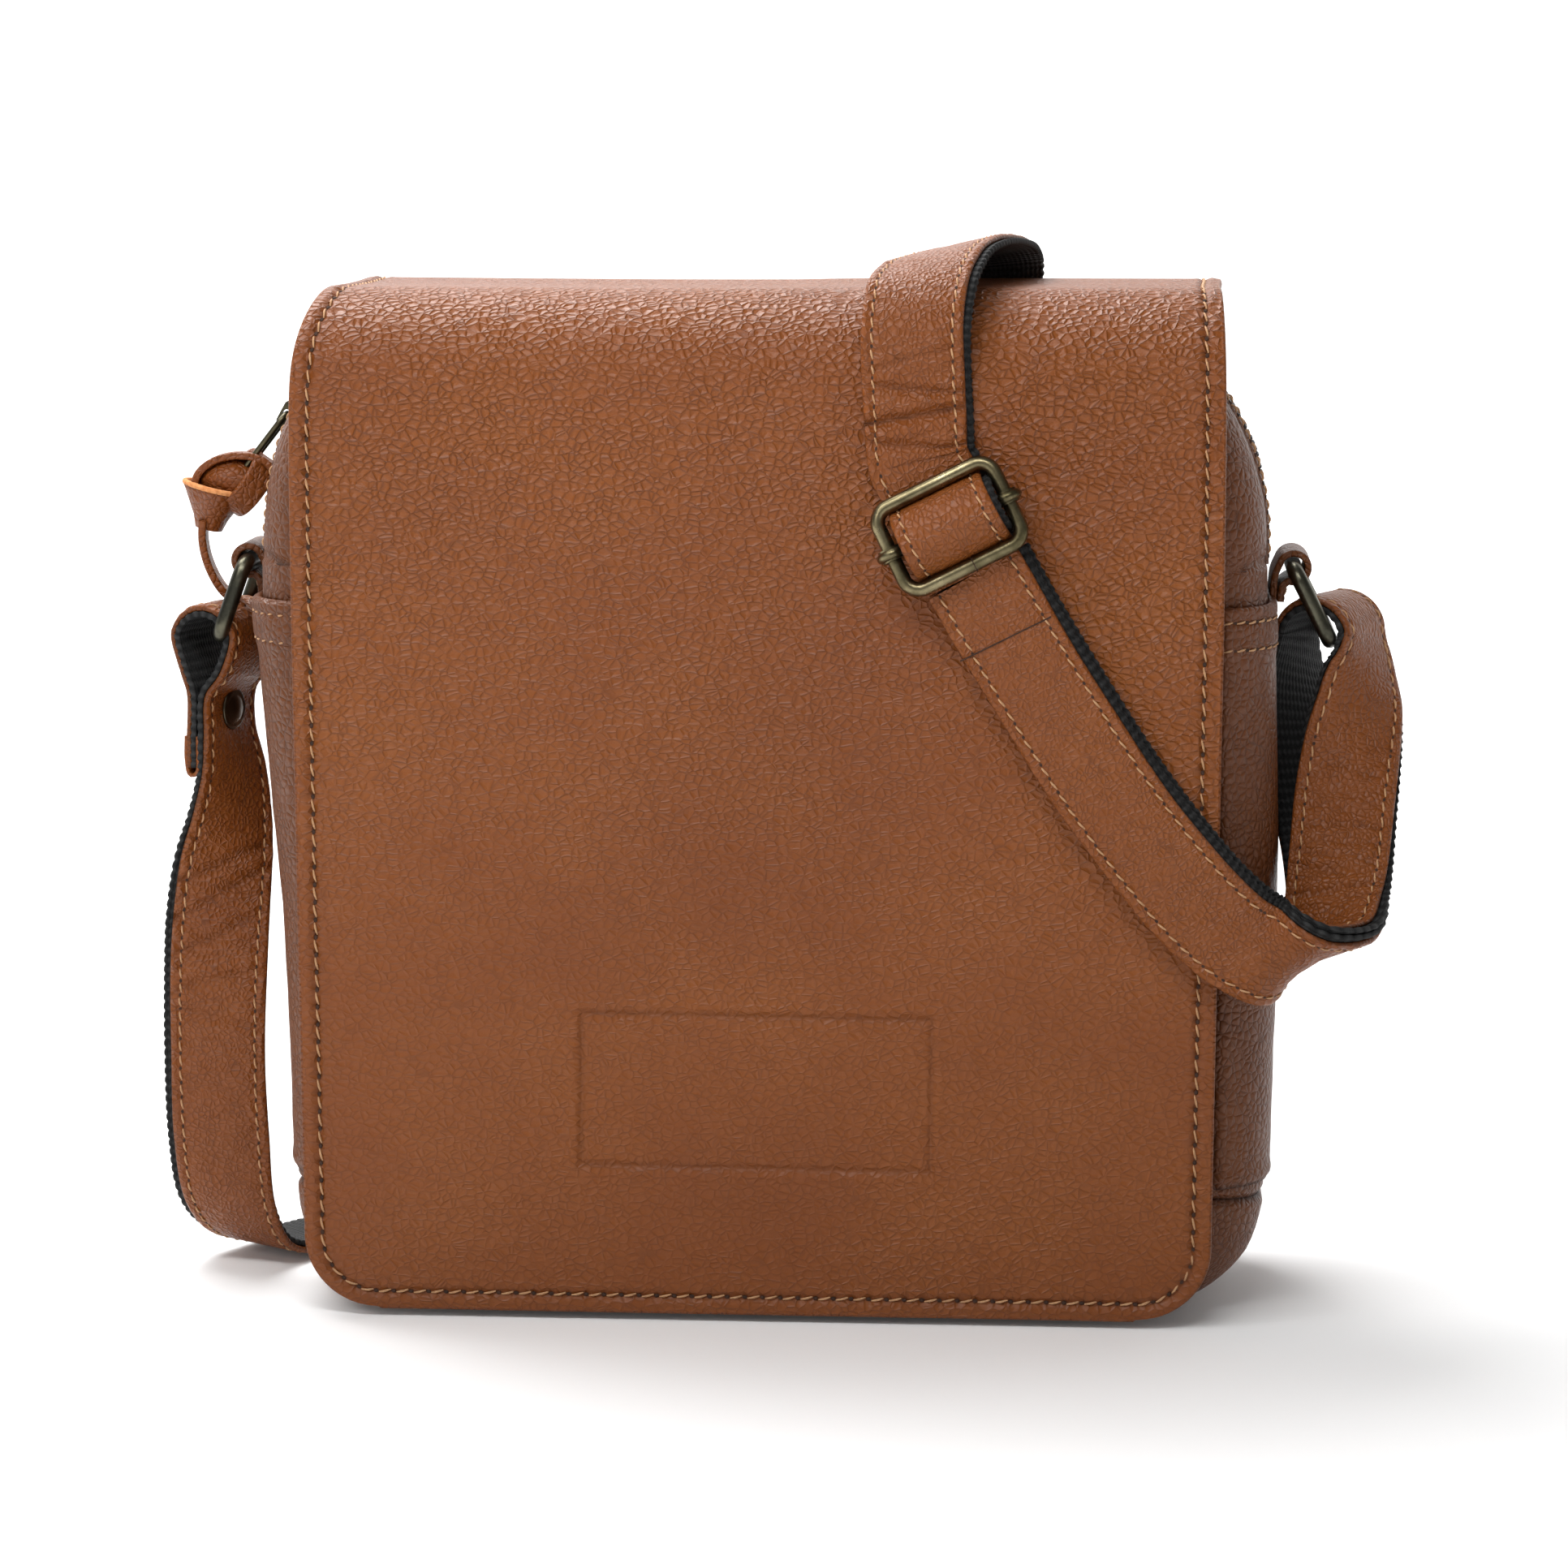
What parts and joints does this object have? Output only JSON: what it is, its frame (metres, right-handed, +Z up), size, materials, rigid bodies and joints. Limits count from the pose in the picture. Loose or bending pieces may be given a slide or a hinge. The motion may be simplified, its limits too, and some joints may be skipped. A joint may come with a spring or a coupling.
{
  "type": "sling bag",
  "caption": "Flap-over leather sling bag with zipped body, side slip pockets, wire rings and a webbing-backed strap with a sliding adjuster.",
  "frame": {"origin": "on the floor under the middle of the bag's flat base", "axes": "+Z up, -Y out of the front of the bag, +X to the right of someone who faces the front"},
  "size_m": [0.3147, 0.1342, 0.2676],
  "materials": {
    "body_leather": "tan pebbled cowhide, satin",
    "flap_leather": "tan pebbled cowhide with a soft pink sheen, satin",
    "strap_leather": "tan cowhide strip with stitched edges, satin",
    "thong_leather": "tan lace with raw orange suede edges",
    "flap_lining": "dark twill",
    "bag_lining": "dark twill",
    "board": "stiff dark board",
    "webbing": "black ribbed nylon webbing",
    "zip_tape": "black woven tape",
    "zip_coil": "black nylon coil",
    "ring_metal": "dark bronze plated steel wire, worn",
    "adjuster_metal": "antique brass plated steel wire, worn",
    "zip_metal": "dark antique brass",
    "snap_metal": "dull nickel"
  },
  "bodies": {
    "bag": {"front_panel": "body_leather", "back_panel": "body_leather", "base_panel": "body_leather", "side_gusset_left": "body_leather", "side_gusset_right": "body_leather", "zip_strip_front": "body_leather", "zip_strip_rear": "body_leather", "zip_tape_front": "zip_tape", "zip_tape_rear": "zip_tape", "zip_coil_front": "zip_coil", "zip_coil_rear": "zip_coil", "zip_stops": "zip_metal", "lining": "bag_lining", "base_board": "board", "side_pocket_left": "body_leather", "side_pocket_right": "body_leather", "lug_left": "body_leather", "lug_right": "body_leather", "flap_fold": "flap_leather", "flap_anchor": "flap_leather", "snap_socket": "snap_metal", "strap_fall_leather": "strap_leather", "strap_fall_webbing": "webbing", "strap_rise_leather": "strap_leather", "strap_rise_webbing": "webbing", "strap_fold_leather": "strap_leather", "strap_fold_webbing": "webbing", "strap_outer_leather": "strap_leather", "strap_outer_webbing": "webbing", "strap_inner_leather": "strap_leather", "strap_inner_webbing": "webbing"},
    "flap": {"flap_leather": "flap_leather", "flap_lining": "flap_lining", "snap_stud": "snap_metal", "strap_over_leather": "strap_leather", "strap_over_webbing": "webbing", "strap_run_leather": "strap_leather", "strap_run_webbing": "webbing", "strap_return_leather": "strap_leather", "strap_return_webbing": "webbing"},
    "adjuster": {"adjuster_frame": "adjuster_metal", "adjuster_bar": "adjuster_metal", "strap_wave_leather": "strap_leather", "strap_wave_webbing": "webbing", "strap_loop_end_leather": "strap_leather", "strap_loop_end_webbing": "webbing"},
    "left_ring": {"ring_left": "ring_metal", "strap_rivet": "ring_metal", "strap_end_leather": "strap_leather", "strap_end_webbing": "webbing"},
    "right_ring": {"ring_right": "ring_metal", "strap_turn_leather": "strap_leather", "strap_turn_webbing": "webbing"},
    "zip_slider": {"zip_slider": "zip_metal"},
    "zip_pull": {"pull_wire": "zip_metal", "pull_thong": "thong_leather"}
  },
  "joints": [
    {"name": "flap_hinge", "type": "hinge", "parent": "bag", "child": "flap", "pos_m": [0, 0.036, 0.247], "axis": [-1, 0, 0], "range_deg": [0, 80], "deforming": ["flap_fold", "strap_fold_leather", "strap_fold_webbing", "strap_outer_leather", "strap_outer_webbing", "strap_inner_leather", "strap_inner_webbing"]},
    {"name": "strap_adjust", "type": "slide", "parent": "flap", "child": "adjuster", "axis": [0.4493, 0, -0.8934], "range_m": [-0.012, 0.012], "deforming": ["strap_over_leather", "strap_over_webbing", "strap_run_leather", "strap_run_webbing", "strap_return_leather", "strap_return_webbing"]},
    {"name": "left_ring_swing", "type": "hinge", "parent": "bag", "child": "left_ring", "pos_m": [-0.1316, 0, 0.186], "axis": [0, 1, 0], "range_deg": [-3, 12], "deforming": ["strap_fall_leather", "strap_fall_webbing"]},
    {"name": "right_ring_swing", "type": "hinge", "parent": "bag", "child": "right_ring", "pos_m": [0.1316, 0, 0.186], "axis": [0, -1, 0], "range_deg": [-3, 12], "deforming": ["strap_outer_leather", "strap_outer_webbing", "strap_inner_leather", "strap_inner_webbing"]},
    {"name": "zip_travel", "type": "hinge", "parent": "bag", "child": "zip_slider", "pos_m": [-0.075, 0, 0.196], "axis": [0, 1, 0], "range_deg": [0, 30]},
    {"name": "zip_pull_swing", "type": "hinge", "parent": "zip_slider", "child": "zip_pull", "pos_m": [-0.12275, 0, 0.22247], "axis": [0, 1, 0], "range_deg": [0, 60]}
  ]
}
